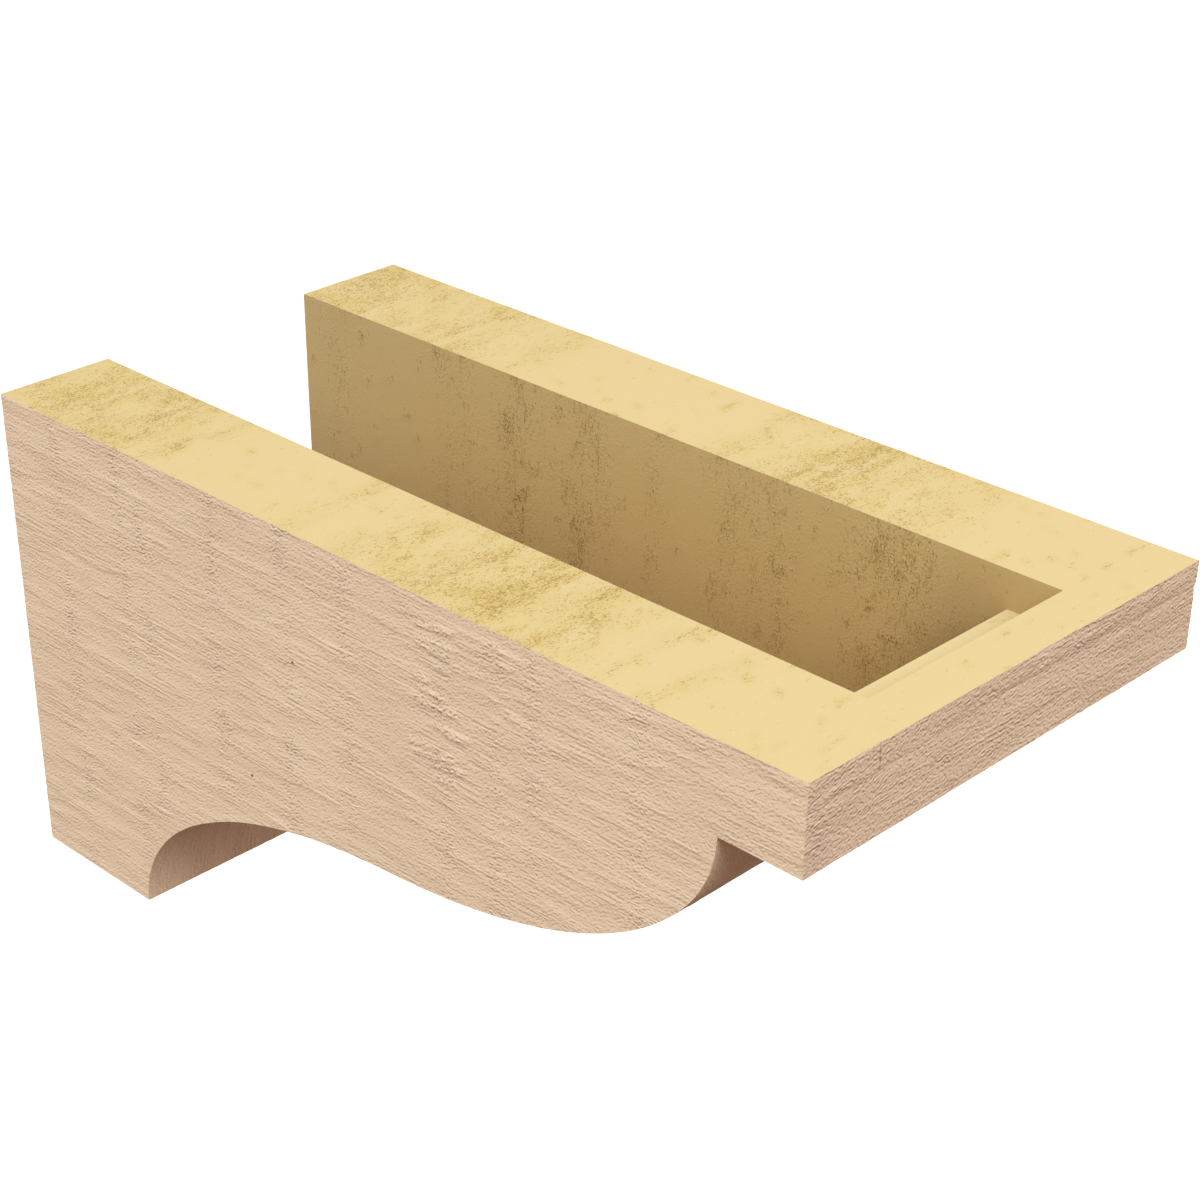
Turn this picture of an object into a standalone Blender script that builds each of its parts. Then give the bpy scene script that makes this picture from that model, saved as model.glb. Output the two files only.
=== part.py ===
"""A hollow moulded corbel: an ogee bracket that is open at its top and at its back.

The frame is metres with +Z up. The corbel hangs on a wall that lies in the plane Y = 0, and it reaches
out from it along -Y. The origin is the middle of the channel floor's back end, on that wall.
"""

import math

import bmesh
import bpy
from mathutils import Vector

# Driving dimensions. The outline is drawn on a grid of twelfths of the length.
LENGTH = 0.4064
WIDTH = LENGTH / 2
HEIGHT = LENGTH / 2
SHELL = 0.01905
SIDE_WALL = WIDTH / 4
NOSE_HEIGHT = LENGTH / 12
NOSE_OVERHANG = LENGTH / 12
FOOT_LENGTH = LENGTH / 6

# Handles of the ogee, as shares of the length: how far its curve leaves each end straight up,
# and the run and the rise of the handle at its middle.
END_HANDLE = 0.0856 * LENGTH
MIDDLE_RUN = 0.2616 * LENGTH
MIDDLE_RISE = 0.0184 * LENGTH
OGEE_STEPS = 32

# The shallow ledge of the channel floor over the nose ends this far behind the nose's face,
# and a slope of this angle leads down from it.
LEDGE_BACK = 0.0991 * LENGTH
LEDGE_SLOPE = math.radians(45)

CHANNEL_WIDTH = WIDTH - 2 * SIDE_WALL
BOTTOM = -SHELL / 2
TOP = BOTTOM + HEIGHT

# The channel's cutter runs this far past the top and the back, and edges sharper than this stay crisp.
CUTTER_MARGIN = 0.02
SHARP_ANGLE = math.radians(20)

# The cast skin's colour, rough and not metallic.
SKIN_COLOUR = (0.62, 0.47, 0.34, 1.0)
SKIN_ROUGHNESS = 0.8


def clear_scene():
    """Remove every object that the file opened with."""
    for old in list(bpy.data.objects):
        bpy.data.objects.remove(old)


def moulded_foam_material():
    """A matt tan skin for the moulded foam."""
    material = bpy.data.materials.new("primed_foam")
    material.use_nodes = True
    shader = material.node_tree.nodes["Principled BSDF"]
    shader.inputs["Base Color"].default_value = SKIN_COLOUR
    shader.inputs["Roughness"].default_value = SKIN_ROUGHNESS
    shader.inputs["Metallic"].default_value = 0.0
    return material


def bezier(handles, share):
    """The point and the direction of a cubic Bezier curve at a share of its way."""
    a, b, c, d = handles
    rest = 1 - share
    point = rest**3 * a + 3 * share * rest**2 * b + 3 * share**2 * rest * c + share**3 * d
    direction = rest**2 * (b - a) + 2 * share * rest * (c - b) + share**2 * (d - c)
    return point, direction.normalized()


def ogee():
    """(point, direction) pairs along the ogee, from the foot up to the nose, as (reach, level).

    The cove is the first half. The lobe is the same curve, turned half round about the middle.
    """
    start = Vector((FOOT_LENGTH, BOTTOM))
    end = Vector((LENGTH - NOSE_OVERHANG, TOP - NOSE_HEIGHT))
    middle = (start + end) / 2
    up = Vector((0, END_HANDLE))
    along = Vector((MIDDLE_RUN, MIDDLE_RISE))
    cove = [start, start + up, middle - along, middle]
    lobe = [middle, middle + along, end - up, end]
    shares = [step / OGEE_STEPS for step in range(OGEE_STEPS + 1)]
    return [bezier(cove, s) for s in shares] + [bezier(lobe, s) for s in shares[1:]]


def side_outline():
    """The corbel's side, as (reach from the wall, level) points."""
    back = [(0, TOP), (0, BOTTOM)]
    curve = [tuple(point) for point, _ in ogee()]
    nose = [(LENGTH, TOP - NOSE_HEIGHT), (LENGTH, TOP)]
    return back + curve + nose


def channel_outline():
    """The channel's side. Its floor keeps the shell's thickness from the outline below it."""
    floor = BOTTOM + SHELL
    inner = []
    for point, direction in ogee():
        into_foam = Vector((-direction.y, direction.x))
        inner.append(point + SHELL * into_foam)
    rising = [tuple(point) for point in inner if point.y > floor]
    pocket_end = (FOOT_LENGTH - SHELL, floor)
    ledge_level = TOP - NOSE_HEIGHT + SHELL
    ledge_edge = (LENGTH - LEDGE_BACK, ledge_level)
    run = ledge_edge[0] - inner[-1].x
    slope_foot = (inner[-1].x, ledge_level - run * math.tan(LEDGE_SLOPE))
    end_face = LENGTH - SHELL
    above = TOP + CUTTER_MARGIN
    behind = -CUTTER_MARGIN
    pocket = [(behind, above), (behind, floor), pocket_end]
    front = [slope_foot, ledge_edge, (end_face, ledge_level), (end_face, above)]
    return pocket + rising + front


def extruded(name, outline, width):
    """A solid with this side outline, carried across the corbel's width."""
    shape = bmesh.new()
    left = [shape.verts.new((-width / 2, -reach, level)) for reach, level in outline]
    side = shape.faces.new(left)
    swept = bmesh.ops.extrude_face_region(shape, geom=[side])
    right = [item for item in swept["geom"] if isinstance(item, bmesh.types.BMVert)]
    bmesh.ops.translate(shape, verts=right, vec=(width, 0, 0))
    bmesh.ops.recalc_face_normals(shape, faces=shape.faces)
    mesh = bpy.data.meshes.new(name)
    shape.to_mesh(mesh)
    shape.free()
    solid = bpy.data.objects.new(name, mesh)
    bpy.context.scene.collection.objects.link(solid)
    return solid


def corbel_body(material):
    """The whole corbel: its outer block with the channel cut out of it."""
    body = extruded("corbel_body", side_outline(), WIDTH)
    cutter = extruded("channel_cutter", channel_outline(), CHANNEL_WIDTH)
    cutter.hide_render = True
    cutter.display_type = "WIRE"
    cut = body.modifiers.new("channel", "BOOLEAN")
    cut.operation = "DIFFERENCE"
    cut.solver = "EXACT"
    cut.object = cutter
    body.data.materials.append(material)
    body.data.shade_smooth()
    body.data.set_sharp_from_angle(angle=SHARP_ANGLE)
    return body


def main():
    clear_scene()
    corbel_body(moulded_foam_material())


main()
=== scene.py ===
"""Looks of a hollow moulded corbel: rough-sawn tan skin outside, raw pale foam where it is cut.

Everything is in metres, +Z up. The corbel hangs on a wall in the plane Y = 0 and reaches out along -Y. A
place on it is given by its reach (distance from the wall), its level (height) and x (across). Each face is a
sheet: rows of points on a chart, joined row to row by triangles. The sheets share their border points, so
they weld into one closed mesh, and the relief then moves each point along the normals of its faces.
"""

import logging
import math
from dataclasses import dataclass, field
from enum import Enum
from functools import partialmethod

import bpy
import numpy as np
from mathutils import Matrix, Vector


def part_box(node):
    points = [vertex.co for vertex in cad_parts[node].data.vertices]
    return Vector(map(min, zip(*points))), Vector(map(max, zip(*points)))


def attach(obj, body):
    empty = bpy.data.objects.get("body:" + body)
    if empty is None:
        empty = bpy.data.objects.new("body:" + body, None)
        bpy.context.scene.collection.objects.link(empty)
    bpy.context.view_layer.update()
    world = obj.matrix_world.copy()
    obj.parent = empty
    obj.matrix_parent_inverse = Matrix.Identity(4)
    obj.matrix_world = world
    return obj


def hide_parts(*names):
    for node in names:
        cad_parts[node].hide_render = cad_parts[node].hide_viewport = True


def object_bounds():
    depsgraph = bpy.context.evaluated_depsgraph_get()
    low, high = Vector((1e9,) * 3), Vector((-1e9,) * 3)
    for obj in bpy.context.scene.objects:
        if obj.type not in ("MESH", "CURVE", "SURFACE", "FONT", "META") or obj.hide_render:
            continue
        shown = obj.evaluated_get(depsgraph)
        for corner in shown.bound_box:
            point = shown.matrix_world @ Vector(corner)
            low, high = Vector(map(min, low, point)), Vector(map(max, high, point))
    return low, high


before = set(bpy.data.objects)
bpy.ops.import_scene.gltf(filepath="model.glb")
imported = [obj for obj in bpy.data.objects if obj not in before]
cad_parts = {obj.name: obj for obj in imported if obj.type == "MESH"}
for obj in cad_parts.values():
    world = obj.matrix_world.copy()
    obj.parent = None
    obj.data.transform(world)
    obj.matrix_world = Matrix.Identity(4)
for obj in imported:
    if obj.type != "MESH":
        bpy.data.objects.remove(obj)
CAD_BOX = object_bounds()

Array = np.ndarray
Triple = tuple[float, float, float]
Tree = bpy.types.NodeTree
Socket = bpy.types.NodeSocket
Sockets = bpy.types.NodeOutputs
Value = Socket | float | tuple
NODE = "corbel_body"
MM = 0.001
# OUT is away from the wall, and IN is into it.
OUT, IN, ACROSS, UP, DOWN = (0, -1, 0), (0, 1, 0), (1, 0, 0), (0, 0, 1), (0, 0, -1)
GRAIN_MAP = "grain"
# Depth of the skin's relief below its face, which drives painted shade in its hollows.
HOLLOWS = "hollows"
SPECKS = "specks"
TORN = "torn"
# The foam's painted shade, darker with depth in the channel, and painted light on the ledge.
PAINTED_SHADE_AND_LIGHT = "inside"
# Grain coordinates are moved by this much, in metres, from one face to the next, so that no pattern repeats.
CHART_GAP = 0.731

log = logging.getLogger("corbel")


class Finish(Enum):
    """The two finishes of the moulding. The value is the material's index on the mesh."""

    SKIN = 0
    FOAM = 1


class Surface(Enum):
    """The corbel's faces. The value is the finish and the face's number."""

    LEFT_SIDE = (Finish.SKIN, 0)
    RIGHT_SIDE = (Finish.SKIN, 1)
    NOSE = (Finish.SKIN, 2)
    FOOT = (Finish.SKIN, 3)
    OGEE = (Finish.SKIN, 4)
    OVERHANG = (Finish.SKIN, 5)
    RIM = (Finish.FOAM, 6)
    BACK = (Finish.FOAM, 7)
    LEFT_WALL = (Finish.FOAM, 8)
    RIGHT_WALL = (Finish.FOAM, 9)
    END_WALL = (Finish.FOAM, 10)
    FLOOR = (Finish.FOAM, 11)
    RISE = (Finish.FOAM, 12)
    SLOPE = (Finish.FOAM, 13)
    LEDGE = (Finish.FOAM, 14)

    def __init__(self, finish: Finish, number: int) -> None:
        """Names the value's two parts, and works out a seed for the face's relief."""
        self.finish, self.number, self.seed = finish, number, 100 + 60 * number


def spaced(start: float, stop: float, step: float) -> Array:
    """Evenly spaced values from start to stop, both included, about a step apart."""
    return np.linspace(start, stop, max(2, round(abs(stop - start) / step) + 1))


def through(stops: list[float], step: float) -> Array:
    """Evenly spaced values, about a step apart, that meet every stop."""
    legs = [spaced(a, b, step) for a, b in zip(stops, stops[1:])]
    return np.concatenate([legs[0]] + [leg[1:] for leg in legs[1:]])


def fade(share: Array) -> Array:
    """A smooth rise from 0 to 1: 6t^5 - 15t^4 + 10t^3, held flat outside 0 to 1."""
    t = np.clip(share, 0, 1)
    return t**3 * (t * (6 * t - 15) + 10)


def gradient_noise(u: Array, v: Array, seed: int) -> Array:
    """Smooth noise of about -1 to 1 with features of one unit.

    Each corner of a unit lattice has a slope in a random direction. At a point, the heights of the four
    slopes around it are blended by their fades.

    Args:
        u, v: coordinates of each point.
        seed: picks the lattice's random directions.

    Returns:
        The noise at each point.
    """
    period = 256
    angle = np.random.default_rng(seed).uniform(0, 2 * np.pi, (period, period))
    u, v = np.broadcast_arrays(u, v)
    column, row = np.floor(u).astype(int), np.floor(v).astype(int)
    total = np.zeros(u.shape)
    for across in (0, 1):
        for up in (0, 1):
            turn = angle[(column + across) % period, (row + up) % period]
            du, dv = u - column - across, v - row - up
            total += fade(1 - abs(du)) * fade(1 - abs(dv)) * (np.cos(turn) * du + np.sin(turn) * dv)
    return 1.5 * total


@dataclass(frozen=True)
class Profile:
    """A curve in the corbel's side plane, by a parameter that grows along it."""

    at: Array
    reach: Array
    level: Array

    def point(self, at: Array) -> tuple[Array, Array]:
        """Reach and level at the parameter's values."""
        return np.interp(at, self.at, self.reach), np.interp(at, self.at, self.level)

    def reach_at(self, level: Array) -> Array:
        """Reach where the rising curve meets a level."""
        return np.interp(level, self.level, self.reach)

    def at_level(self, level: Array) -> Array:
        """The parameter where the rising curve meets a level."""
        return np.interp(level, self.level, self.at)


@dataclass
class Sizes:
    """The corbel's sizes, in metres, worked out from the frame's box as shares of its length.

    Reaches are distances from the wall, and levels are heights. The ogee ends at the notch under the nose.
    In the channel, a flat floor ends at the pocket's end, the rise follows the ogee, and a slope of 45
    degrees leads from its foot to the ledge's edge.
    """

    low: Vector
    high: Vector
    curve_points: int = 400

    def __post_init__(self) -> None:
        """Works out the widths, then the reaches, then the levels."""
        self.length = self.high.y - self.low.y
        self.shell = self.length * 3 / 64
        self.half_width, self.half_channel = self.high.x, self.high.x / 2
        self.foot, self.notch = self.length / 6, self.length * 11 / 12
        self.pocket_end, self.end_wall = self.foot - self.shell, self.length - self.shell
        self.ledge_edge = self.length * (1 - 0.0991)
        self.bottom, self.top = self.low.z, self.high.z
        self.floor, self.nose_bottom = self.bottom + self.shell, self.top - self.length / 12
        self.ledge = self.nose_bottom + self.shell
        self.slope_foot = self.ledge - (self.ledge_edge - (self.notch - self.shell))

    def ogee(self) -> tuple[Array, Array]:
        """Points and directions of the underside's curve, as (reach, level) rows.

        Each half is a cubic Bezier curve b(t) = r^3 a + 3 t r^2 b + 3 t^2 r c + t^3 d with r = 1 - t. The
        lobe is the cove turned half round about the middle.
        """
        start, end = np.array([self.foot, self.bottom]), np.array([self.notch, self.nose_bottom])
        middle = (start + end) / 2
        up, along = self.length * np.array([0, 0.0856]), self.length * np.array([0.2616, 0.0184])
        t = np.linspace(0, 1, self.curve_points)[:, None]
        r = 1 - t

        def bezier(a: Array, b: Array, c: Array, d: Array) -> tuple[Array, Array]:
            """Points and unit directions of one cubic curve."""
            point = r**3 * a + 3 * t * r**2 * b + 3 * t**2 * r * c + t**3 * d
            slope = r**2 * (b - a) + 2 * t * r * (c - b) + t**2 * (d - c)
            return point, slope / np.linalg.norm(slope, axis=1)[:, None]

        cove = bezier(start, start + up, middle - along, middle)
        lobe = bezier(middle, middle + along, end - up, end)
        return np.vstack([cove[0], lobe[0][1:]]), np.vstack([cove[1], lobe[1][1:]])

    def underside(self) -> Profile:
        """The ogee by its arc length, from the foot up to the notch."""
        points, _ = self.ogee()
        return self.by_arc_length(points)

    def rise(self) -> Profile:
        """The channel floor's curve, a shell's thickness inside the ogee, up to the slope's foot."""
        points, directions = self.ogee()
        inner = points + self.shell * np.stack([-directions[:, 1], directions[:, 0]], 1)
        inner = inner[inner[:, 1] > self.floor]
        start, end = [self.pocket_end, self.floor], [self.notch - self.shell, self.slope_foot]
        return self.by_arc_length(np.vstack([[start], inner, [end]]))

    def slope(self) -> Profile:
        """The slope below the ledge, by its level."""
        levels = np.array([self.slope_foot, self.ledge])
        return Profile(levels, np.array([self.notch - self.shell, self.ledge_edge]), levels)

    @staticmethod
    def by_arc_length(points: Array) -> Profile:
        """A profile through the points, by the length of the line through them."""
        legs = np.linalg.norm(np.diff(points, axis=0), axis=1)
        return Profile(np.concatenate([[0], np.cumsum(legs)]), points[:, 0], points[:, 1])


@dataclass(frozen=True)
class Chart:
    """A flat face: a point is origin + along * u + across * v."""

    origin: Triple
    u: Triple
    v: Triple
    normal: Triple

    def place(self, along: Array, across: Array) -> tuple[Array, Array]:
        """Points and normals at chart coordinates."""
        points = self.origin + along[:, None] * np.array(self.u) + across[:, None] * np.array(self.v)
        return points, np.broadcast_to(np.array(self.normal, float), points.shape)


@dataclass(frozen=True)
class RolledChart:
    """A face that follows a profile: along is the profile's parameter, and across is x."""

    profile: Profile
    facing: float

    def place(self, along: Array, across: Array) -> tuple[Array, Array]:
        """Points and normals at chart coordinates. The normal is the tangent turned a quarter round."""
        step = 0.5 * MM
        reach, level = self.profile.point(along)
        ahead, behind = self.profile.point(along + step), self.profile.point(along - step)
        tangent = np.stack([ahead[0] - behind[0], ahead[1] - behind[1]], 1)
        tangent /= np.linalg.norm(tangent, axis=1)[:, None]
        points = np.stack([across, -reach, level], 1)
        normal = self.facing * np.stack([0 * reach, tangent[:, 1], tangent[:, 0]], 1)
        return points, normal


@dataclass
class Sheets:
    """The faces made so far: arrays of points, normals, grain coordinates, face numbers and triangles."""

    parts: list[tuple[Array, ...]] = field(default_factory=list)
    count: int = 0

    def add(self, surface: Surface, chart: Chart | RolledChart, across: Array, rows: list[Array] | Array,
            turned: bool = False) -> None:
        """Makes one sheet of rows of points.

        Args:
            surface: the face that the sheet belongs to.
            chart: places the points.
            across: the across coordinate of each row.
            rows: the along coordinates of each row's points, growing, or of one row that all repeat.
            turned: True where the grain runs across the rows and not along them.
        """
        rows = [rows] * len(across) if isinstance(rows, Array) else rows
        lengths = [len(row) for row in rows]
        starts = self.count + np.cumsum([0] + lengths)
        along, sideways = np.concatenate(rows), np.repeat(across, lengths)
        points, normals = chart.place(along, sideways)
        pairs = zip(starts, rows, starts[1:], rows[1:])
        triangles = np.concatenate([self.joined(*pair) for pair in pairs])
        local = points[triangles - self.count]
        facing = np.cross(local[:, 1] - local[:, 0], local[:, 2] - local[:, 0])
        if (facing * normals[triangles[:, 0] - self.count]).sum() < 0:
            triangles = triangles[:, ::-1]
        grain = np.stack([sideways, along] if turned else [along, sideways], 1)
        self.parts.append((points, normals, grain, np.full(len(points), surface.number), triangles))
        self.count += len(points)

    @staticmethod
    def joined(first: int, row: Array, next_first: int, next_row: Array) -> Array:
        """Triangles between two rows of points.

        The points of both rows are taken in their order along the rows. Each one, apart from the two that
        come first, makes a triangle with the last point that was met on either row.

        Args:
            first, row: number of the first row's first point, and the row's along coordinates.
            next_first, next_row: the same of the second row.

        Returns:
            Three point numbers for each triangle.
        """
        at = np.concatenate([row[1:], next_row[1:]])
        on_next = np.repeat([0, 1], [len(row) - 1, len(next_row) - 1])
        on_next = on_next[np.lexsort((on_next, np.round(at / MM, 6)))]
        met, met_next = np.cumsum(1 - on_next), np.cumsum(on_next)
        before, before_next = first + met - (1 - on_next), next_first + met_next - on_next
        new = np.where(on_next == 1, next_first + met_next, first + met)
        return np.stack([before, before_next, new], 1)


@dataclass
class Mesher:
    """Lays the corbel's faces out as sheets. Steps are in metres."""

    sizes: Sizes
    along_grain: float = 2.4 * MM
    across_grain: float = 0.8 * MM
    under_along: float = 3.2 * MM
    under_across: float = 1.5 * MM
    nose_along: float = 2.0 * MM
    foam: float = 4.2 * MM

    def __post_init__(self) -> None:
        """Works out the columns and rows that faces share: of the sides, of the channel and of its walls."""
        s = self.sizes
        self.side_reaches = through([0, s.notch, s.end_wall, s.length], self.along_grain)
        self.channel_reaches = through([0, s.pocket_end, s.ledge_edge, s.end_wall], self.foam)
        self.upper_levels = spaced(s.top, s.nose_bottom, self.across_grain)
        self.lower_levels = through([s.nose_bottom, s.floor, s.bottom], self.across_grain)
        self.upper_wall = spaced(s.top, s.ledge, self.foam)
        self.lower_wall = through([s.ledge, s.slope_foot, s.floor], self.foam)

    def sheets(self) -> Sheets:
        """All the faces, with shared points along their borders."""
        made = Sheets()
        self.add_sides(made)
        self.add_nose_and_underside(made)
        self.add_rim(made)
        self.add_back(made)
        self.add_channel(made)
        return made

    def across(self, step: float) -> Array:
        """Values of x from side to side that meet the channel's walls."""
        s = self.sizes
        return through([-s.half_width, -s.half_channel, s.half_channel, s.half_width], step)

    @staticmethod
    def cut(columns: Array, end: float) -> Array:
        """The columns before a row's end, and the end. One too close to the end is left out."""
        too_close = 0.35 * (columns[1] - columns[0])
        return np.append(columns[columns < end - too_close], end)

    def add_sides(self, made: Sheets) -> None:
        """Both sides: level rows, the lower ones ending on the ogee."""
        s, columns, edge = self.sizes, self.side_reaches, self.sizes.underside()
        lower = [self.cut(columns, end) for end in edge.reach_at(self.lower_levels)]
        for surface, x in ((Surface.LEFT_SIDE, -s.half_width), (Surface.RIGHT_SIDE, s.half_width)):
            chart = Chart((x, 0, 0), OUT, UP, (math.copysign(1, x), 0, 0))
            made.add(surface, chart, self.upper_levels, columns)
            made.add(surface, chart, self.lower_levels, lower)

    def add_nose_and_underside(self, made: Sheets) -> None:
        """The nose's face and the three parts of the underside."""
        s, fine, edge = self.sizes, self.across(self.under_across), self.sizes.underside()
        nose = Chart((0, -s.length, 0), ACROSS, UP, OUT)
        rows = [self.across(self.nose_along)] * (len(self.upper_levels) - 1) + [fine]
        made.add(Surface.NOSE, nose, self.upper_levels, rows)
        foot = Chart((0, 0, s.bottom), OUT, ACROSS, DOWN)
        made.add(Surface.FOOT, foot, fine, self.cut(self.side_reaches, s.foot))
        overhang = Chart((0, 0, s.nose_bottom), OUT, ACROSS, DOWN)
        front = self.side_reaches[self.side_reaches > s.notch - MM / 2]
        made.add(Surface.OVERHANG, overhang, fine, front)
        border = edge.at_level(self.lower_levels[::-1])
        inside = spaced(0, edge.at[-1], self.under_along)
        made.add(Surface.OGEE, RolledChart(edge, -1), fine, [border] + [inside] * (len(fine) - 2) + [border])

    def add_rim(self, made: Sheets) -> None:
        """The flat top: a strip over each side wall and one over the nose."""
        s, outer, inner = self.sizes, self.side_reaches, self.channel_reaches
        x = self.across(self.foam)
        outer_part = outer[outer < s.end_wall + MM / 2]
        chart = Chart((0, 0, s.top), OUT, ACROSS, UP)
        left = x[x < -s.half_channel + MM / 2]
        rows = [outer_part] + [inner] * (len(left) - 1)
        made.add(Surface.RIM, chart, left, rows, turned=True)
        made.add(Surface.RIM, chart, -left[::-1], rows[::-1], turned=True)
        over_nose = Chart((0, 0, s.top), ACROSS, OUT, UP)
        front = outer[outer > s.end_wall - MM / 2]
        made.add(Surface.RIM, over_nose, front, [x] * (len(front) - 1) + [self.across(self.nose_along)])

    def add_back(self, made: Sheets) -> None:
        """The U-shaped back end: both walls' ends, and the floor's end below them."""
        s, x = self.sizes, self.across(self.foam)
        low = self.lower_levels
        side = np.concatenate([self.upper_levels, low[1:][low[1:] > s.floor - MM / 2]])[::-1]
        channel = np.concatenate([self.upper_wall, self.lower_wall[1:]])[::-1]
        left = x[x < -s.half_channel + MM / 2]
        rows = [side] + [spaced(s.floor, s.top, self.foam)] * (len(left) - 2) + [channel]
        chart = Chart((0, 0, 0), UP, ACROSS, IN)
        made.add(Surface.BACK, chart, left, rows)
        made.add(Surface.BACK, chart, -left[::-1], rows[::-1])
        strip = Chart((0, 0, 0), ACROSS, UP, IN)
        levels = low[low < s.floor + MM / 2]
        fine = self.across(self.under_across)
        made.add(Surface.BACK, strip, levels, [x] * (len(levels) - 1) + [fine], turned=True)

    def add_channel(self, made: Sheets) -> None:
        """The channel: two walls, the end wall, and the floor with its rise, slope and ledge."""
        s, columns, above, below = self.sizes, self.channel_reaches, self.upper_wall, self.lower_wall
        rise, slope = s.rise(), s.slope()
        ends = np.where(below < s.slope_foot, rise.reach_at(below), slope.reach_at(below))
        lower = [self.cut(columns, end) for end in ends]
        for surface, x in ((Surface.LEFT_WALL, -s.half_channel), (Surface.RIGHT_WALL, s.half_channel)):
            chart = Chart((x, 0, 0), OUT, UP, (-math.copysign(1, x), 0, 0))
            made.add(surface, chart, above, columns, turned=True)
            made.add(surface, chart, below, lower, turned=True)
        x = self.across(self.foam)
        x = x[abs(x) < s.half_channel + MM / 2]
        end = Chart((0, -s.end_wall, 0), ACROSS, UP, IN)
        made.add(Surface.END_WALL, end, above, x, turned=True)
        floor = Chart((0, 0, s.floor), OUT, ACROSS, UP)
        made.add(Surface.FLOOR, floor, x, self.cut(columns, s.pocket_end), turned=True)
        ledge = Chart((0, 0, s.ledge), OUT, ACROSS, UP)
        made.add(Surface.LEDGE, ledge, x, columns[columns > s.ledge_edge - MM / 2], turned=True)
        steps = below[below > s.slope_foot - MM / 2][::-1]
        made.add(Surface.SLOPE, RolledChart(slope, 1), x, steps, turned=True)
        border = rise.at_level(below[below < s.slope_foot + MM / 2][::-1])
        inside = spaced(0, rise.at[-1], self.foam)
        rows = [border] + [inside] * (len(x) - 2) + [border]
        made.add(Surface.RISE, RolledChart(rise, 1), x, rows, turned=True)


@dataclass(frozen=True)
class SawnRelief:
    """Relief of the rough-sawn skin. Lengths and heights are in millimetres."""

    seed: int
    grain: float = 0.165
    fibre: float = 0.05
    seams: tuple[float, ...] = ()
    run: float = 85
    spacing: float = 2.9
    bend: float = 0.8
    wave: float = 0.05
    rough: float = 0.34
    step: float = 0.04
    slant: float = math.radians(14)

    def height(self, along: Array, across: Array) -> Array:
        """Height at each point: faint waves, straight grain ridges, slanted fibres and torn places.

        Args:
            along: distance along the grain.
            across: distance across the grain.

        Returns:
            Height over the face.
        """
        n, s = gradient_noise, self.seed
        bent = across + self.bend * n(along / 110, across / 40, s)
        wave = self.wave * n(along / 50, across / 26, s + 2)
        lively = np.clip(0.6 + 1.4 * n(along / 60, across / 9, s + 3), 0.1, 1.8)
        ridges = n(along / self.run, bent / self.spacing, s + 4) + 0.6 * n(along / 34, bent / 1.8, s + 5)
        cos, sin = math.cos(self.slant), math.sin(self.slant)
        forward, sideways = along * cos + across * sin, across * cos - along * sin
        fibres = n(forward / 5.5, sideways / 1.9, s + 9)
        rough = n(forward / 5.5, sideways / 2.2, s + 10) + 0.5 * n(along / 3.4, across / 2.2, s + 11)
        steps = sum(np.tanh((along - seam) / 1.5) * np.exp(-abs(along - seam) / 9) for seam in self.seams)
        height = wave + lively * self.grain * ridges + self.fibre * fibres + self.step * steps
        return height + self.rough * self.torn(along, across) * rough

    def torn(self, along: Array, across: Array) -> Array:
        """How torn the face is, from 0 to 1.2: in patches, and in bands where the saw chattered."""
        n, s = gradient_noise, self.seed
        total = 0.7 * np.clip(n(along / 22, across / 10, s + 12) - 0.5, 0, 1) / 0.4
        for number, place in enumerate(self.seams):
            seed = s + 20 + 2 * number
            off = along - place - 2.5 * n(across / 26, 0 * across + number, seed)
            there = np.clip(0.45 + 0.9 * n(across / 22, 0 * across + number, seed + 1), 0, 1)
            total = total + there * np.exp(-((off / 4.0) ** 2))
        return np.clip(total, 0, 1.2)


@dataclass(frozen=True)
class Tears:
    """A zone where flakes of the face were torn: each ramps out downwards and ends in a sharp lower edge."""

    reach: tuple[float, float]
    depth: tuple[float, float]
    count: int
    seed: int
    lift: float = 0.5
    half: tuple[float, float] = (4, 11)

    def height(self, along: Array, across: Array) -> Array:
        """Height of all the flakes at each point, in millimetres.

        Across a flake of height h the surface rises evenly from its upper end to its lip and drops back
        within a millimetre. Along the grain it fades at both ends.

        Args:
            along: distance from the wall, in millimetres.
            across: depth below the rim, in millimetres.

        Returns:
            Height over the face.
        """
        random = np.random.default_rng(self.seed)
        total = np.zeros(along.shape)
        for _ in range(self.count):
            middle, lip = random.uniform(*self.reach), random.uniform(*self.depth)
            half, tall = random.uniform(*self.half), random.uniform(1.8, 4)
            lean, lift = random.uniform(-0.22, 0.06), self.lift * random.uniform(0.5, 1)
            ends = fade((half - abs(along - middle)) / (0.35 * half))
            up = (lip + lean * (along - middle) - across) / tall
            ramp = np.where(up > 0, 1 - up, 1 + up * tall / 0.9)
            total = np.maximum(total, lift * ends * np.clip(ramp, 0, 1))
        return total


SIDE_TEARS = {
    Surface.LEFT_SIDE: (
        Tears((240, 258), (10, 68), 18, 7, 0.9, (4, 12)), Tears((262, 292), (5, 82), 22, 8, 0.35, (2, 6)),
        Tears((68, 76), (8, 90), 12, 9, 0.3, (2, 5)), Tears((124, 131), (2, 120), 12, 10, 0.3, (2, 5)),
        Tears((164, 176), (60, 86), 7, 11, 0.3, (2, 5)), Tears((330, 350), (2, 30), 8, 12, 0.35, (2, 5)),
        Tears((29, 36), (8, 180), 10, 13, 0.25, (2, 4)), Tears((5, 400), (4, 190), 40, 14, 0.22, (3, 8)),
    ),
    Surface.RIGHT_SIDE: (
        Tears((120, 150), (20, 90), 24, 17), Tears((300, 312), (5, 120), 14, 18, 0.3, (2, 5)),
        Tears((5, 400), (4, 190), 60, 19, 0.25, (3, 8)),
    ),
}
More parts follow.
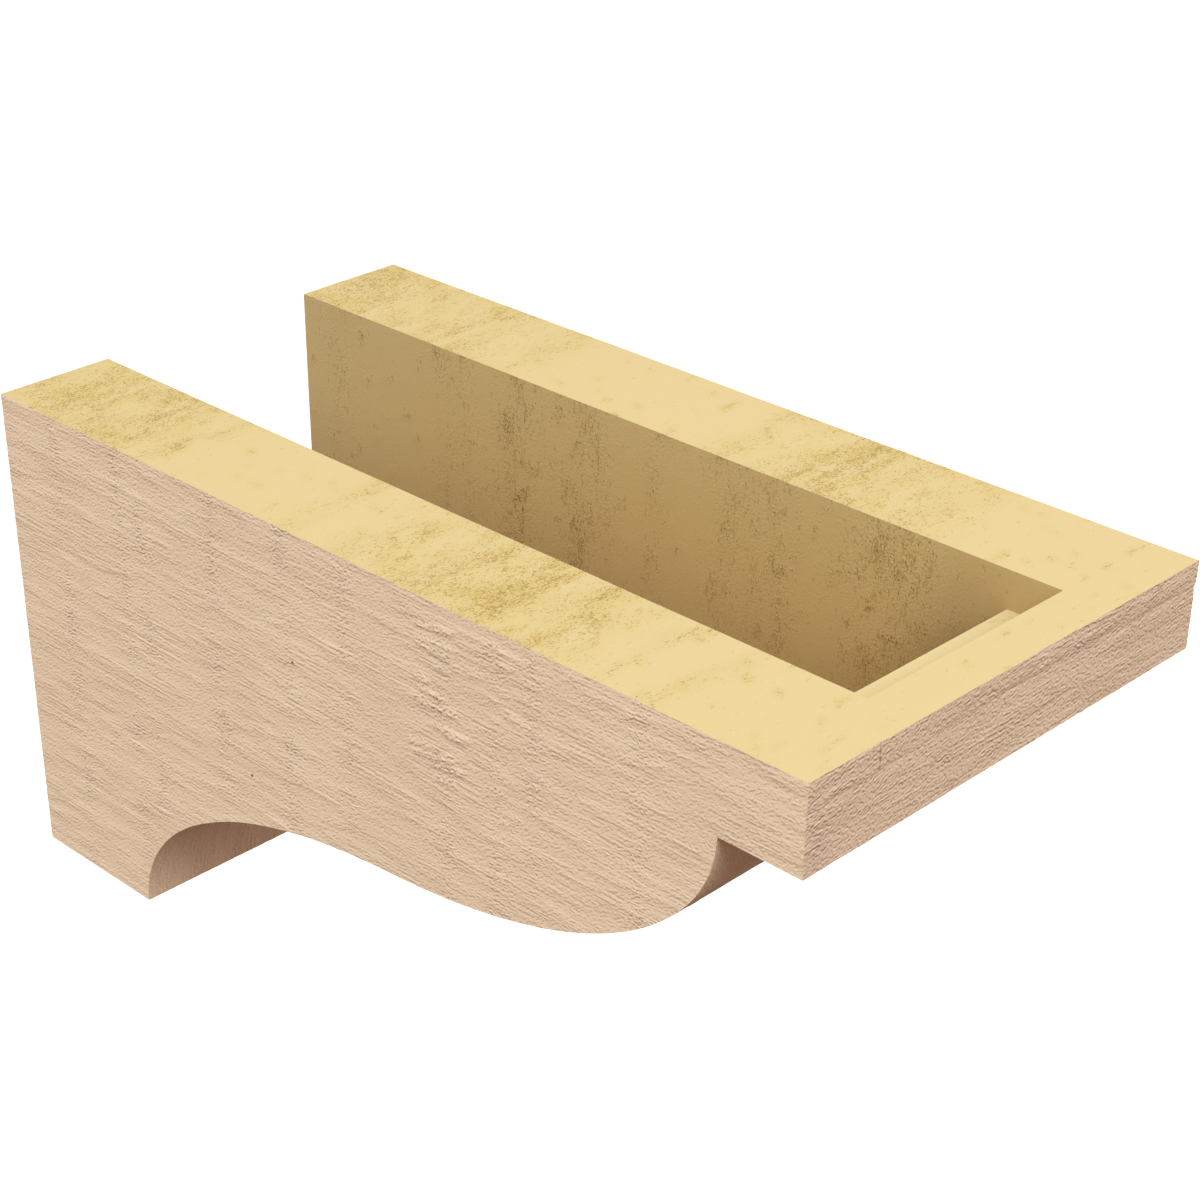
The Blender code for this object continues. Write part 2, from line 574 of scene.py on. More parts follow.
NOSE_TEARS = (
    Tears((100, 190), (5, 9), 14, 21, 0.5, (3, 9)), Tears((8, 190), (14, 32), 14, 22, 0.2, (4, 12)),
    Tears((2, 14), (2, 11), 5, 23, 0.3, (2, 4)),
)


@dataclass(frozen=True)
class Cluster:
    """A band of specks in the raw foam, across the face. Lengths are in millimetres."""

    reach: float
    spread: float
    strength: float


def clusters(*rows: Triple) -> tuple[Cluster, ...]:
    """Clusters from rows of reach, spread and strength."""
    return tuple(Cluster(*row) for row in rows)


NEAR_RIM = clusters((30, 38, 0.9), (66, 14, 0.6), (90, 5, 0.6), (166, 7, 0.4), (204, 14, 0.7),
                    (232, 11, 1.2), (260, 12, 1.3), (290, 16, 0.9), (320, 3, 0.8), (346, 4, 0.6))
FAR_RIM = clusters((15, 38, 1.0), (80, 20, 0.8), (118, 10, 0.5), (232, 9, 0.6), (278, 24, 1.3),
                   (322, 12, 0.5))
CHANNEL_WALL = clusters((22, 10, 0.35), (92, 11, 0.5), (128, 12, 0.9), (165, 14, 0.7), (204, 7, 0.4),
                        (240, 9, 0.5), (262, 12, 0.6), (318, 22, 0.7))
PLAIN_FOAM = clusters((60, 60, 0.6), (250, 60, 0.6))


def speck_density(streak: Array, run: Array, zones: tuple[Cluster, ...], seed: int) -> Array:
    """How thickly the foam is speckled at each point, from 0 to about 1.

    Each cluster is a bell curve about its reach, and noise stretched across the face breaks it up.

    Args:
        streak: distance along the streaks, in millimetres.
        run: distance across the streaks, in millimetres.
        zones: the bands.
        seed: picks the noise.

    Returns:
        The density.
    """
    wander = 6 * gradient_noise(streak / 30, run / 40, seed)
    bands = sum(c.strength * np.exp(-(((run + wander - c.reach) / c.spread) ** 2)) for c in zones)
    streaks = 1 + 0.9 * gradient_noise(streak / 16, run / 4, seed + 1)
    patches = 1 + 0.6 * gradient_noise(streak / 24, run / 14, seed + 2)
    stray = 3 * np.clip(gradient_noise(streak / 9, run / 5, seed + 3) - 0.42, 0, 1)
    return 1 - np.exp(-1.1 * bands * np.clip(streaks, 0.2, 2) * np.clip(patches, 0.3, 2) - stray)


@dataclass(frozen=True)
class Relief:
    """Heights and speck densities of every face."""

    sizes: Sizes
    seams: tuple[float, ...] = (32, 72, 85, 128, 167, 200, 250, 275, 293, 340)

    def skin(self, surface: Surface) -> SawnRelief:
        """The sawn relief that a skin face has."""
        seed = surface.seed
        if surface is Surface.LEFT_SIDE:
            return SawnRelief(seed, seams=self.seams)
        if surface is Surface.RIGHT_SIDE:
            return SawnRelief(seed, seams=tuple(self.sizes.length / MM - seam for seam in self.seams))
        if surface is Surface.NOSE:
            return SawnRelief(seed, grain=0.13, fibre=0.04, seams=(-96,), run=160, spacing=3.4)
        return SawnRelief(seed, grain=0.15)

    def heights(self, surface: Surface, along: Array, across: Array) -> Array:
        """Relief of one face.

        Args:
            surface: the face.
            along: distance along the grain of each point, in millimetres.
            across: distance across it.

        Returns:
            Height of each point over the face, in millimetres.
        """
        depth = self.sizes.top / MM - across
        if surface.finish is Finish.SKIN:
            height = self.skin(surface).height(along, across)
        elif surface in (Surface.RIM, Surface.BACK):
            height = 0 * along
        else:
            height = 0.12 * gradient_noise(along / 60, across / 35, surface.seed)
        if surface is Surface.NOSE:
            height += self.nose_marks(along + self.sizes.half_width / MM, depth)
        return height + sum(tears.height(along, depth) for tears in SIDE_TEARS.get(surface, ()))

    def tornness(self, surface: Surface, along: Array, across: Array) -> Array:
        """How torn one face's points are, from 0 to 1.3 or, on the nose, from 0.6 to 1.8."""
        if surface.finish is Finish.FOAM:
            return 0 * along
        torn, depth = self.skin(surface).torn(along, across), self.sizes.top / MM - across
        if surface is Surface.NOSE:
            return 0.6 + torn
        flakes = sum(1.6 * tears.height(along, depth) for tears in SIDE_TEARS.get(surface, ()))
        return np.clip(torn + flakes, 0, 1.3)

    def nose_marks(self, x: Array, depth: Array) -> Array:
        """The nose's own marks: a step with a groove along it, torn waves and flakes, near the rim.

        Args:
            x: distance from the left side, in millimetres.
            depth: depth below the rim, in millimetres.

        Returns:
            Height of the marks, in millimetres.
        """
        line = depth - 9.3 - 1.3 * np.cos(x / 38)
        held = np.clip(0.5 + 1.2 * gradient_noise(x / 22, 0 * x, 901), 0, 1)
        step = 0.28 * fade((1.5 - line) / 3)
        groove = -0.45 * held * np.exp(-((line / 1.0) ** 2))
        rough = np.exp(-(((x - 115) / 40) ** 2)) * fade((12 - depth) / 6)
        torn = 0.3 * rough * gradient_noise(x / 8, depth / 2.2, 900)
        flakes = sum(tears.height(x, depth) for tears in NOSE_TEARS)
        return step + groove + torn + flakes

    def densities(self, surface: Surface, streak: Array, run: Array) -> Array:
        """Speck density of one face's points. Streaks lie along the grain coordinates."""
        seed = 500 + 10 * surface.number
        if surface is Surface.RIM:
            near = speck_density(streak, run, NEAR_RIM, seed)
            return np.where(streak < 0, near, speck_density(streak, run, FAR_RIM, seed + 5))
        if surface in (Surface.LEFT_WALL, Surface.RIGHT_WALL):
            return speck_density(streak, run, CHANNEL_WALL, seed)
        if surface.finish is Finish.FOAM:
            return 0.5 * speck_density(streak, run, PLAIN_FOAM, seed)
        return 0 * streak

    def inside(self, points: Array, surfaces: Array) -> Array:
        """The foam's painted tone: 0 outside the channel, higher in it for painted shade that darkens with
        depth, and -1 for painted light on the ledge.

        In the channel it is 0.75 + 2.5 * depth in metres + a smooth rise of up to 0.15 before the end wall,
        where the painted shade is darker still.

        Args:
            points: places of the points.
            surfaces: number of each point's face.

        Returns:
            The tone of each point.
        """
        near_end = fade((-points[:, 1] - 0.74 * self.sizes.length) / (60 * MM))
        tone = 0.75 + 2.5 * (self.sizes.top - points[:, 2]) + 0.15 * near_end
        outside, ledge = surfaces < Surface.LEFT_WALL.number, surfaces == Surface.LEDGE.number
        return np.select([outside, ledge], [0, -1], tone)


@dataclass(frozen=True)
class Moulding:
    """The whole corbel as one closed mesh."""

    sizes: Sizes
    name: str = "corbel_moulding"

    def build(self, materials: list[bpy.types.Material]) -> bpy.types.Object:
        """Makes the corbel's object.

        Args:
            materials: one material for each finish, in the order of their values.

        Returns:
            The object, at the origin, with its place in its mesh.
        """
        sheets = Mesher(self.sizes).sheets()
        points, normals, grain, surfaces, triangles = (np.concatenate(part) for part in zip(*sheets.parts))
        place, welded = self.weld(points)
        relief = Relief(self.sizes)
        heights, density, torn = np.zeros((3, len(points)))
        moved = place.copy()
        for surface in Surface:
            on = surfaces == surface.number
            along, across = (grain[on] / MM).T
            heights[on] = relief.heights(surface, along, across) * MM
            density[on] = relief.densities(surface, along, across)
            torn[on] = relief.tornness(surface, along, across)
            shift = np.zeros(place.shape)
            shift[welded[on]] = heights[on, None] * normals[on]
            moved += shift
        self.check_closed(welded[triangles])
        mesh = bpy.data.meshes.new(self.name)
        mesh.from_pydata(moved.tolist(), [], welded[triangles].tolist())
        for material in materials:
            mesh.materials.append(material)
        faces = surfaces[triangles[:, 0]]
        finish = np.array([surface.finish.value for surface in Surface])
        mesh.polygons.foreach_set("material_index", finish[faces].astype(np.int32))
        self.smooth(mesh, faces)
        corners = triangles.ravel()
        apart = CHART_GAP * surfaces[corners, None]
        mesh.uv_layers.new(name=GRAIN_MAP).uv.foreach_set("vector", (grain[corners] + apart).ravel())
        # Hollows and inside carry the painted shade of the skin's hollows and of the channel, and the
        # ledge's painted light.
        inside = relief.inside(points, surfaces)
        fields = {HOLLOWS: -heights / MM, SPECKS: density, TORN: torn, PAINTED_SHADE_AND_LIGHT: inside}
        for label, values in fields.items():
            mesh.attributes.new(label, "FLOAT", "CORNER").data.foreach_set("value", values[corners])
        return link_object(self.name, mesh)

    @staticmethod
    def weld(points: Array) -> tuple[Array, Array]:
        """Points with equal places, to a thousandth of a millimetre, become one.

        Args:
            points: all sheets' points.

        Returns:
            The distinct points, and for each given point the number of its distinct one.
        """
        off_the_half = 0.2371
        keys = np.round(points / (MM * MM) + off_the_half).astype(np.int64)
        _, first, welded = np.unique(keys, axis=0, return_index=True, return_inverse=True)
        return points[first], welded.ravel()

    @staticmethod
    def check_closed(triangles: Array) -> None:
        """Raises an error unless every edge joins two triangles that pass it in opposite directions."""
        edges = np.concatenate([triangles[:, [0, 1]], triangles[:, [1, 2]], triangles[:, [2, 0]]])
        size = triangles.max() + 1
        ways, back = edges[:, 0] * size + edges[:, 1], edges[:, 1] * size + edges[:, 0]
        if len(np.unique(ways)) != len(ways) or not np.isin(ways, back).all():
            raise ValueError(f"the mesh is open: {(~np.isin(ways, back)).sum()} edges have one side")

    @staticmethod
    def smooth(mesh: bpy.types.Mesh, faces: Array) -> None:
        """Smooth shading within each face of the corbel, and sharp edges between two of them."""
        mesh.shade_smooth()
        edges = np.zeros(len(mesh.loops), np.int32)
        mesh.loops.foreach_get("edge_index", edges)
        owner = np.repeat(faces, 3)
        least, most = np.full(len(mesh.edges), 99), np.full(len(mesh.edges), -1)
        np.minimum.at(least, edges, owner)
        np.maximum.at(most, edges, owner)
        sharp = mesh.attributes.get("sharp_edge") or mesh.attributes.new("sharp_edge", "BOOLEAN", "EDGE")
        sharp.data.foreach_set("value", least != most)


class Nodes:
    """Short ways to place and link nodes in a tree."""

    def __init__(self, tree: Tree) -> None:
        """Starts on an empty tree."""
        self.tree = tree
        tree.nodes.clear()

    def add(self, kind: str, inputs: dict | None = None, **settings: object) -> bpy.types.Node:
        """Places a node.

        Args:
            kind: the node's type name.
            inputs: values or output sockets for its inputs, by name or number.
            settings: the node's own properties.

        Returns:
            The node.
        """
        node = self.tree.nodes.new(kind)
        for key, value in settings.items():
            setattr(node, key, value)
        for key, value in (inputs or {}).items():
            if isinstance(value, Socket):
                self.tree.links.new(value, node.inputs[key])
            else:
                node.inputs[key].default_value = value
        return node

    def group(self, tree: Tree, **inputs: Value) -> Sockets:
        """The outputs of a node group. Underscores in the names of its inputs stand for spaces."""
        named = {key.replace("_", " "): value for key, value in inputs.items()}
        return self.add("ShaderNodeGroup", named, node_tree=tree).outputs

    def noise(self, tree: Tree, grain: Value, run: Value, across: Value, detail: float,
              seed: Value = 0.0, tilt: float = 0.0) -> Socket:
        """The stretched noise group's value. Its features are run by across millimetres."""
        sizes = {"Run_mm": run, "Across_mm": across}
        return self.group(tree, Grain=grain, Detail=detail, Seed=seed, Tilt=tilt, **sizes)["Value"]

    def grain(self) -> Socket:
        """The grain coordinates, in metres."""
        return self.add("ShaderNodeUVMap", uv_map=GRAIN_MAP).outputs["UV"]

    def attribute(self, name: str) -> Socket:
        """A number that the mesh carries."""
        return self.add("ShaderNodeAttribute", attribute_name=name).outputs["Fac"]

    def parts(self, vector: Socket) -> Sockets:
        """The x, y and z of a vector."""
        return self.add("ShaderNodeSeparateXYZ", {0: vector}).outputs

    def vector(self, operation: str, a: Value, b: Value) -> Sockets:
        """The outputs of a Vector Math node."""
        return self.add("ShaderNodeVectorMath", {0: a, 1: b}, operation=operation).outputs

    def math(self, operation: str, a: Value, b: Value = 0.5, c: Value = 0.5) -> Socket:
        """The result of a Math node."""
        return self.add("ShaderNodeMath", {0: a, 1: b, 2: c}, operation=operation).outputs[0]

    # a * b, a - b and a * b + c.
    times = partialmethod(math, "MULTIPLY")
    minus = partialmethod(math, "SUBTRACT")
    scaled = partialmethod(math, "MULTIPLY_ADD")

    def ramp(self, value: Value, start: float, end: float) -> Socket:
        """A smooth step of value: 0 at start, 1 at end."""
        inputs = {"Value": value, "From Min": start, "From Max": end}
        return self.add("ShaderNodeMapRange", inputs, interpolation_type="SMOOTHSTEP").outputs["Result"]

    def mix(self, share: Value, a: Value, b: Value) -> Socket:
        """A colour between a and b."""
        node = self.add("ShaderNodeMix", {"Factor": share, "A": a, "B": b}, data_type="RGBA")
        return node.outputs["Result"]

    def tint(self, colour: Value, other: Value, mask: Value, strength: Value) -> Socket:
        """A colour that turns to another one by a mask times a strength."""
        return self.mix(self.times(mask, strength), colour, other)

    def surface(self, colour: Value, roughness: float, height: Value, bump: float, distance: float) -> None:
        """Ends a material with a shader of this colour and roughness, and a bump of this height."""
        inputs = {"Strength": bump, "Distance": distance, "Height": height}
        normal = self.add("ShaderNodeBump", inputs).outputs["Normal"]
        inputs = {"Base Color": colour, "Roughness": roughness, "Normal": normal}
        shader = self.add("ShaderNodeBsdfPrincipled", inputs)
        self.add("ShaderNodeOutputMaterial", {"Surface": shader.outputs[0]})


def new_group(name: str, inputs: dict[str, float], outputs: tuple[str, ...]) -> tuple[Nodes, Sockets]:
    """An empty shader node group. Its first input is Grain, a vector, and its other sockets are numbers.

    Args:
        name: the group's name.
        inputs: default values of the other inputs, by name.
        outputs: names of the outputs.

    Returns:
        The group's node helper, and the sockets that bring its inputs.
    """
    tree = bpy.data.node_groups.new(name, "ShaderNodeTree")
    tree.interface.new_socket("Grain", in_out="INPUT", socket_type="NodeSocketVector")
    for label, value in inputs.items():
        tree.interface.new_socket(label, in_out="INPUT", socket_type="NodeSocketFloat").default_value = value
    for label in outputs:
        tree.interface.new_socket(label, in_out="OUTPUT", socket_type="NodeSocketFloat")
    nodes = Nodes(tree)
    return nodes, nodes.add("NodeGroupInput").outputs


def stretched_noise_group() -> Tree:
    """Noise that is stretched along the grain: noise at (u / run, (v + tilt * u) / across)."""
    inputs = {"Run mm": 4.0, "Across mm": 1.0, "Detail": 2.0, "Tilt": 0.0, "Seed": 0.0}
    nodes, given = new_group("stretched_noise", inputs, ("Value",))
    part = nodes.parts(given["Grain"])
    along = nodes.math("DIVIDE", part[0], nodes.times(given["Run mm"], MM))
    tilted = nodes.scaled(part[0], given["Tilt"], part[1])
    across = nodes.math("DIVIDE", tilted, nodes.times(given["Across mm"], MM))
    place = nodes.add("ShaderNodeCombineXYZ", {0: along, 1: across, 2: given["Seed"]}).outputs[0]
    inputs = {"Vector": place, "Scale": 1.0, "Detail": given["Detail"], "Roughness": 0.6}
    nodes.add("NodeGroupOutput", {"Value": nodes.add("ShaderNodeTexNoise", inputs).outputs["Fac"]})
    return nodes.tree


def spots_group(noise: Tree) -> Tree:
    """Irregular spots in clumps: noise above a threshold that falls as the density rises."""
    inputs = {"Run mm": 1.0, "Across mm": 1.0, "Density": 0.5, "Sparse": 0.75, "Dense": 0.5, "Seed": 0.0}
    nodes, given = new_group("spots", inputs, ("Mask",))
    sizes = given["Run mm"], given["Across mm"]
    clump_sizes = [nodes.times(size, 3.5) for size in sizes]
    grit = nodes.noise(noise, given["Grain"], *sizes, 1.5, given["Seed"])
    clump = nodes.noise(noise, given["Grain"], *clump_sizes, 1.0, given["Seed"])
    value = nodes.scaled(clump, 0.35, nodes.scaled(grit, 0.85, -0.1))
    drop = nodes.times(nodes.minus(given["Sparse"], given["Dense"]), given["Density"])
    threshold = nodes.minus(given["Sparse"], drop)
    nodes.add("NodeGroupOutput", {"Mask": nodes.ramp(nodes.minus(value, threshold), 0.0, 0.06)})
    return nodes.tree


def rough_grain_group(noise: Tree) -> Tree:
    """The finest sawn texture: lines that fade where it is torn, fibres, crumbs, and a mask of crevices."""
    nodes, given = new_group("rough_grain", {"Torn": 0.0}, ("Height", "Crevice"))
    grain = given["Grain"]
    fibre = nodes.noise(noise, grain, 1.9, 0.85, 1.0, tilt=-0.3)
    crumb = nodes.noise(noise, grain, 1.2, 0.85, 0.5, seed=5.0)
    line = nodes.noise(noise, grain, 15.0, 1.05, 1.0, seed=7.0)
    calm = nodes.noise(noise, grain, 34.0, 10.0, 1.0, seed=8.0)
    split = nodes.noise(noise, grain, 6.5, 2.4, 1.0, seed=11.0, tilt=-0.08)
    held = nodes.scaled(nodes.math("MINIMUM", given["Torn"], 1.0), -0.75, 1.0)
    strength = nodes.times(nodes.scaled(nodes.ramp(calm, 0.36, 0.64), 0.9, 0.25), held)
    height = nodes.scaled(crumb, 0.6, nodes.times(fibre, 0.75))
    height = nodes.scaled(line, strength, height)
    crevice = nodes.ramp(nodes.math("ABSOLUTE", nodes.minus(split, 0.5)), 0.022, 0.004)
    nodes.add("NodeGroupOutput", {"Height": height, "Crevice": crevice})
    return nodes.tree


def new_material(name: str) -> tuple[bpy.types.Material, Nodes]:
    """A material with an empty node tree, and the tree's helper."""
    material = bpy.data.materials.new(name)
    material.use_nodes = True
    return material, Nodes(material.node_tree)


def link_object(name: str, data: bpy.types.ID) -> bpy.types.Object:
    """An object of the scene that shows a mesh, a light or a camera."""
    made = bpy.data.objects.new(name, data)
    bpy.context.scene.collection.objects.link(made)
    return made


def srgb(red: int, green: int, blue: int) -> tuple[float, float, float, float]:
    """A colour given by its screen values, which are 11 to 255, as linear light."""
    return (*(((c / 255 + 0.055) / 1.055) ** 2.4 for c in (red, green, blue)), 1.0)


@dataclass(frozen=True)
class SkinFinish:
    """The primed, rough-sawn skin. The places of its marks are grain coordinates, in metres.

    The probe is how far to each side the texture's height is read, to tell which way it slopes for the
    painted highlight and painted shade.
    """

    name: str = "rough_sawn_skin"
    tan: tuple = srgb(225, 200, 171)
    light: tuple = srgb(230, 206, 177)
    # Painted shade, of down-facing slopes and hollows, and painted highlight, of up-facing slopes.
    painted_shade: tuple = srgb(166, 131, 98)
    painted_highlight: tuple = srgb(243, 222, 201)
    dark: tuple = srgb(110, 80, 58)
    pinholes: tuple = ((0.171, 0.1417), (0.143, 0.0827))
    crack: tuple = (-0.0686, 0.1837)
    crack_sway: float = 1.2 * MM
    pinhole_edge: tuple = (0.9 * MM, 0.3 * MM)
    probe: float = 0.4 * MM
    roughness: float = 0.85
    bump: float = 0.72
    bump_distance: float = 0.5 * MM

    def material(self, noise: Tree, rough: Tree) -> bpy.types.Material:
        """Builds the skin's material. Painted highlight lies on its texture's slopes that face up, and
        painted shade on those that face down, in the relief's hollows and in crevices where it is torn.

        Args:
            noise: the stretched noise group.
            rough: the rough grain group.

        Returns:
            The material.
        """
        material, nodes = new_material(self.name)
        grain, torn = nodes.grain(), nodes.attribute(TORN)
        texture = nodes.group(rough, Grain=grain, Torn=torn)
        height, crevice = texture["Height"], nodes.times(texture["Crevice"], nodes.ramp(torn, 0.4, 1.1))
        beside = [nodes.vector("ADD", grain, (0, step, 0))[0] for step in (-self.probe, self.probe)]
        facing_up = nodes.minus(*(nodes.group(rough, Grain=place, Torn=torn)["Height"] for place in beside))
        cloud = nodes.noise(noise, grain, 50.0, 24.0, 2.0, seed=3.0)
        holes = [nodes.vector("DISTANCE", grain, (*hole, 0))["Value"] for hole in self.pinholes]
        # Painted highlight on the slopes that face up and painted shade on those that face down, stronger
        # where the skin is torn.
        depth = nodes.scaled(torn, 0.5, 0.34)
        colour = nodes.mix(nodes.ramp(cloud, 0.3, 0.7), self.tan, self.light)
        colour = nodes.tint(colour, self.painted_highlight, nodes.ramp(facing_up, 0.03, 0.3), depth)
        colour = nodes.tint(colour, self.painted_shade, nodes.ramp(facing_up, -0.03, -0.3), depth)
        # Painted shade in the relief's hollows.
        colour = nodes.tint(colour, self.painted_shade, nodes.ramp(nodes.attribute(HOLLOWS), 0.05, 0.5), 0.1)
        # Painted shade in the crevices of torn places.
        colour = nodes.tint(colour, self.dark, crevice, 0.15)
        colour = nodes.tint(colour, self.dark, self.crack_mask(nodes, grain, height), 0.5)
        colour = nodes.mix(nodes.ramp(nodes.math("MINIMUM", *holes), *self.pinhole_edge), colour, self.dark)
        height = nodes.times(height, nodes.scaled(torn, 1.35, 1.0))
        height = nodes.scaled(crevice, -0.6, height)
        nodes.surface(colour, self.roughness, height, self.bump, self.bump_distance)
        return material

    def crack_mask(self, nodes: Nodes, grain: Socket, sway: Socket) -> Socket:
        """The nose's short upright crack, which runs down from the rim and sways with the texture."""
        across, down = (place + CHART_GAP * Surface.NOSE.number for place in self.crack)
        part = nodes.parts(grain)
        off = nodes.scaled(sway, self.crack_sway, nodes.minus(part[0], across + self.crack_sway))
        thin = nodes.ramp(nodes.math("ABSOLUTE", off), 0.45 * MM, 0.1 * MM)
        return nodes.times(thin, nodes.ramp(part[1], down - 0.5 * MM, down + 0.5 * MM))


@dataclass(frozen=True)
class FoamFinish:
    """The raw foam of the cut faces."""

    name: str = "raw_foam"
    pale: tuple = srgb(233, 210, 155)
    yellow: tuple = srgb(226, 201, 130)
    # Painted shade: the channel's foam colour, and a darker one deep in the channel.
    inner: tuple = srgb(229, 204, 148)
    deep_channel_shade: tuple = srgb(190, 164, 120)
    # Painted light: the ledge's lighter colour.
    ledge_painted_light: tuple = srgb(241, 222, 168)
    blot: tuple = srgb(212, 182, 98)
    ochre: tuple = srgb(172, 132, 62)
    # Painted shade: the colour of blots and specks in the channel.
    painted_speck_shade: tuple = srgb(146, 108, 54)
    spot_inputs: tuple = ("Run mm", "Across mm", "Sparse", "Dense", "Seed")
    speck_values: tuple = (1.1, 0.8, 0.74, 0.45, 2.0)
    blot_values: tuple = (3.0, 1.6, 0.665, 0.44, 9.0)
    roughness: float = 0.9
    bump: float = 0.5
    bump_distance: float = 0.4 * MM

    def material(self, noise: Tree, spots: Tree) -> bpy.types.Material:
        """Builds the foam's material. Its painted shade in the channel and painted light on the ledge follow
        the mesh's number for inside.

        Args:
            noise: the stretched noise group.
            spots: the spots group.

        Returns:
            The material.
        """
        material, nodes = new_material(self.name)
        grain, density, inside = nodes.grain(), nodes.attribute(SPECKS), nodes.attribute(PAINTED_SHADE_AND_LIGHT)
        cloud = nodes.noise(noise, grain, 30.0, 12.0, 3.0)
        fine = nodes.noise(noise, grain, 1.1, 0.9, 1.0, seed=5.0)
        specks, blots = (
            nodes.group(spots, Grain=grain, Density=density, **dict(zip(self.spot_inputs, values)))["Mask"]
            for values in (self.speck_values, self.blot_values))
        colour = nodes.tint(self.pale, self.yellow, density, nodes.ramp(cloud, 0.25, 0.65))
        # Painted shade: in the channel the foam turns darker with depth, first to inner and then to a darker
        # colour still.
        colour = nodes.mix(inside, colour, self.inner)
        colour = nodes.mix(nodes.ramp(inside, 0.82, 1.05), colour, self.deep_channel_shade)
        # Painted light: the ledge is painted lighter.
        colour = nodes.mix(nodes.ramp(inside, 0.0, -1.0), colour, self.ledge_painted_light)
        # Painted shade: in the channel blots and specks turn darker, and blots fainter.
        blot, speck = (nodes.mix(inside, tone, self.painted_speck_shade) for tone in (self.blot, self.ochre))
        colour = nodes.tint(colour, blot, blots, nodes.scaled(inside, -0.2, 0.45))
        colour = nodes.tint(colour, speck, specks, 0.66)
        height = nodes.times(fine, nodes.scaled(density, 2.8, 0.6))
        nodes.surface(colour, self.roughness, height, self.bump, self.bump_distance)
        return material


@dataclass(frozen=True)
class SoftBox:
    """A square area light."""

    name: str
    place: Triple
    size: float
    power: float


@dataclass(frozen=True)
class Sky:
    """Light from all round: a plain upper half, a bright band at the horizon and a dim, warm lower half.

    The camera sees it as plain white.
    """

    above: tuple = (0.48, 0.48, 0.5, 1)
    above_wall: tuple = (1.45, 1.35, 1.05, 1)
    band: tuple = (1.0, 1.0, 1.0, 1)
    band_at_nose: tuple = (0.84, 0.4, 0.14, 1)
    below: tuple = (0.07, 0.02, 0.01, 1)
    seen: tuple = (1.0, 1.0, 1.0, 1)

    def build(self) -> bpy.types.World:
        """Makes the world."""
        world = bpy.data.worlds.new("studio")
        world.use_nodes = True
        nodes = Nodes(world.node_tree)
        part = nodes.parts(nodes.add("ShaderNodeTexCoord").outputs["Generated"])
        up, back = part["Z"], part["Y"]
        band = nodes.mix(nodes.ramp(back, 0.1, -0.75), self.band, self.band_at_nose)
        above = nodes.mix(nodes.ramp(back, 0.1, 0.9), self.above, self.above_wall)
        upper = nodes.mix(nodes.ramp(up, -0.05, 0.05), band, above)
        colour = nodes.mix(nodes.ramp(up, -0.3, -0.14), self.below, upper)
        colour = nodes.mix(nodes.add("ShaderNodeLightPath").outputs["Is Camera Ray"], colour, self.seen)
        sky = nodes.add("ShaderNodeBackground", {"Color": colour})
        nodes.add("ShaderNodeOutputWorld", {"Surface": sky.outputs[0]})
        return world


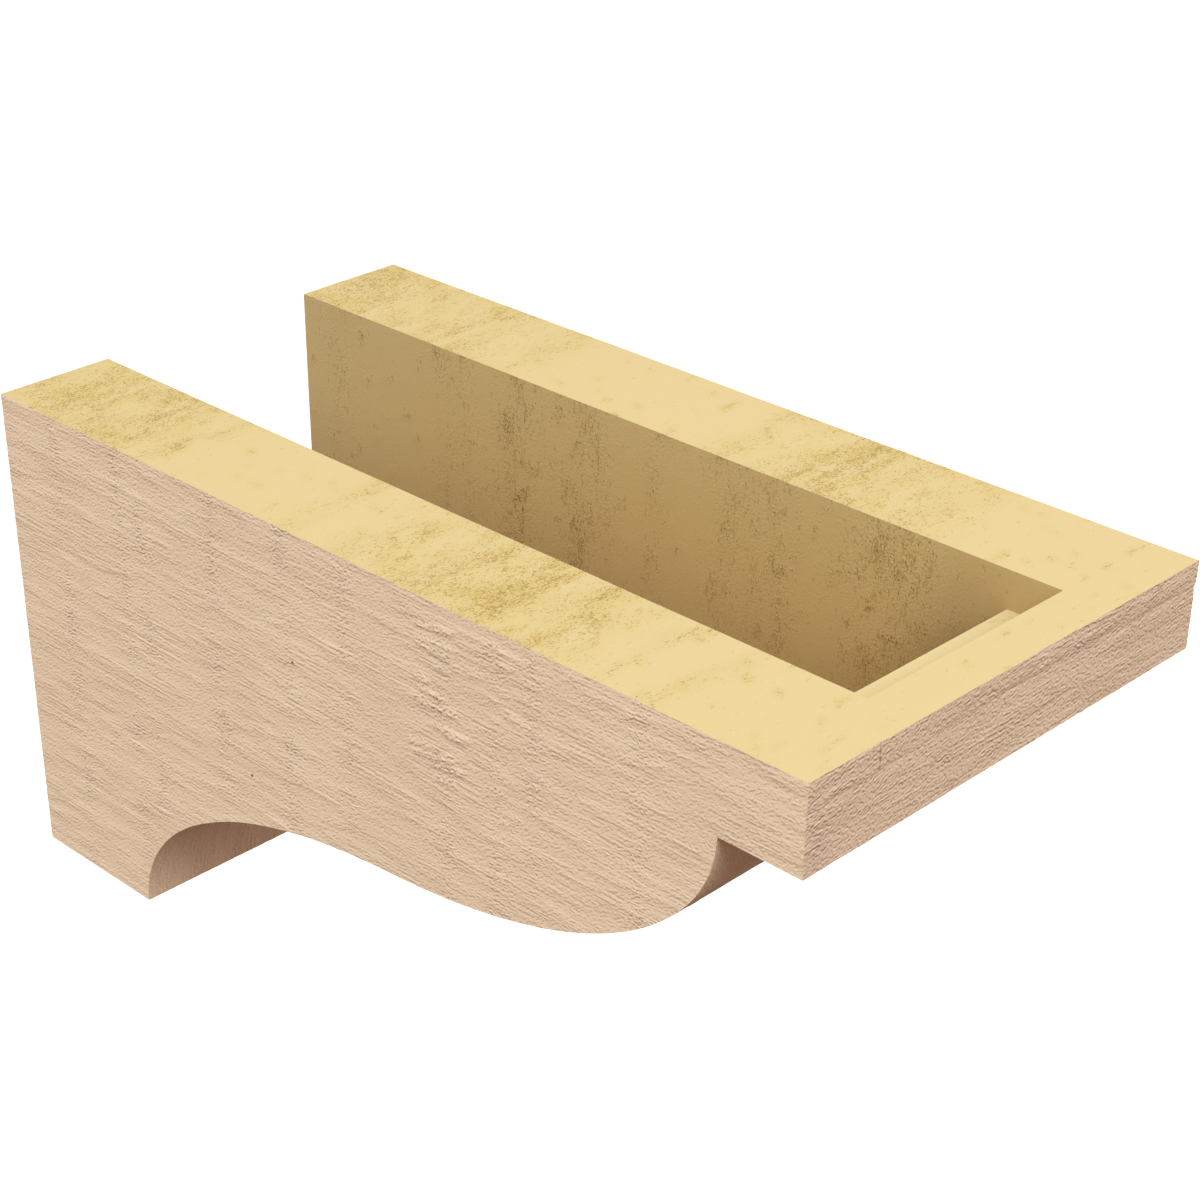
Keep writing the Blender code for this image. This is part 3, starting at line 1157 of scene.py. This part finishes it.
@dataclass(frozen=True)
class Studio:
    """Pale floor, soft light and the camera at the photograph's angle."""

    target: Vector
    floor_drop: float = 0.9
    floor_size: float = 14.0
    floor_glow: float = 0.35
    eye: Triple = (-0.59695, -0.7996, 0.57971)
    heading: float = 44.719
    pitch: float = 29.693
    roll: float = -0.15
    lens: float = 76.666
    shift: tuple[float, float] = (0.0444, 0.0831)
    boxes: tuple[SoftBox, ...] = (
        SoftBox("top_light", (-0.9, -4.6, 4.05), 2.6, 207.0),
        SoftBox("left_light", (-3.1, -0.2, -0.05), 0.4, 30.0),
        SoftBox("right_light", (3.1, -0.2, -0.05), 0.4, 34.0),
    )

    def build(self) -> None:
        """Makes the floor, the lights, the sky and the camera."""
        self.add_floor()
        for box in self.boxes:
            self.add_light(box)
        bpy.context.scene.world = Sky().build()
        self.add_camera()

    def add_floor(self) -> None:
        """A plain pale floor well below the corbel, which hangs. It throws no light or shadow up at it."""
        half = self.floor_size / 2
        level = self.target.z - self.floor_drop
        mesh = bpy.data.meshes.new("floor")
        corners = [(x, y, level) for x, y in ((-half, -half), (half, -half), (half, half), (-half, half))]
        mesh.from_pydata(corners, [], [(0, 1, 2, 3)])
        material = bpy.data.materials.new("pale_floor")
        material.use_nodes = True
        inputs = material.node_tree.nodes["Principled BSDF"].inputs
        looks = {"Base Color": (0.95, 0.95, 0.95, 1), "Roughness": 0.9, "Emission Color": (1, 1, 1, 1),
                 "Emission Strength": self.floor_glow}
        for key, value in looks.items():
            inputs[key].default_value = value
        mesh.materials.append(material)
        floor = link_object("floor", mesh)
        floor.visible_diffuse = floor.visible_glossy = floor.visible_shadow = False

    def add_light(self, box: SoftBox) -> None:
        """An area light that faces the corbel."""
        light = bpy.data.lights.new(box.name, "AREA")
        light.shape = "SQUARE"
        light.size = box.size
        light.energy = box.power
        made = link_object(box.name, light)
        made.location = box.place
        made.rotation_euler = (self.target - Vector(box.place)).to_track_quat("-Z", "Y").to_euler()

    def add_camera(self) -> None:
        """The camera, turned by its heading from +Y towards +X, its pitch below level and its roll."""
        data = bpy.data.cameras.new("camera")
        data.lens = self.lens
        data.shift_x, data.shift_y = self.shift
        camera = link_object("camera", data)
        turn = Matrix.Rotation(math.radians(-self.heading), 4, "Z")
        tip = Matrix.Rotation(math.radians(90 - self.pitch), 4, "X")
        roll = Matrix.Rotation(math.radians(self.roll), 4, "Z")
        camera.matrix_world = Matrix.Translation(self.eye) @ turn @ tip @ roll
        bpy.context.scene.camera = camera


def main() -> None:
    """Builds the corbel and its studio."""
    logging.basicConfig(level=logging.INFO, format="%(name)s: %(message)s")
    sizes = Sizes(*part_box(NODE))
    noise = stretched_noise_group()
    spots = spots_group(noise)
    materials = [SkinFinish().material(noise, rough_grain_group(noise)), FoamFinish().material(noise, spots)]
    corbel = Moulding(sizes).build(materials)
    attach(corbel, "root")
    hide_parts(NODE)
    log.info("%s: %d triangles", corbel.name, len(corbel.data.polygons))
    Studio(target=(CAD_BOX[0] + CAD_BOX[1]) / 2).build()
    bpy.context.scene.view_settings.view_transform = "Standard"
    log.info("studio: floor, lights and camera")


if __name__ == "__main__":
    main()
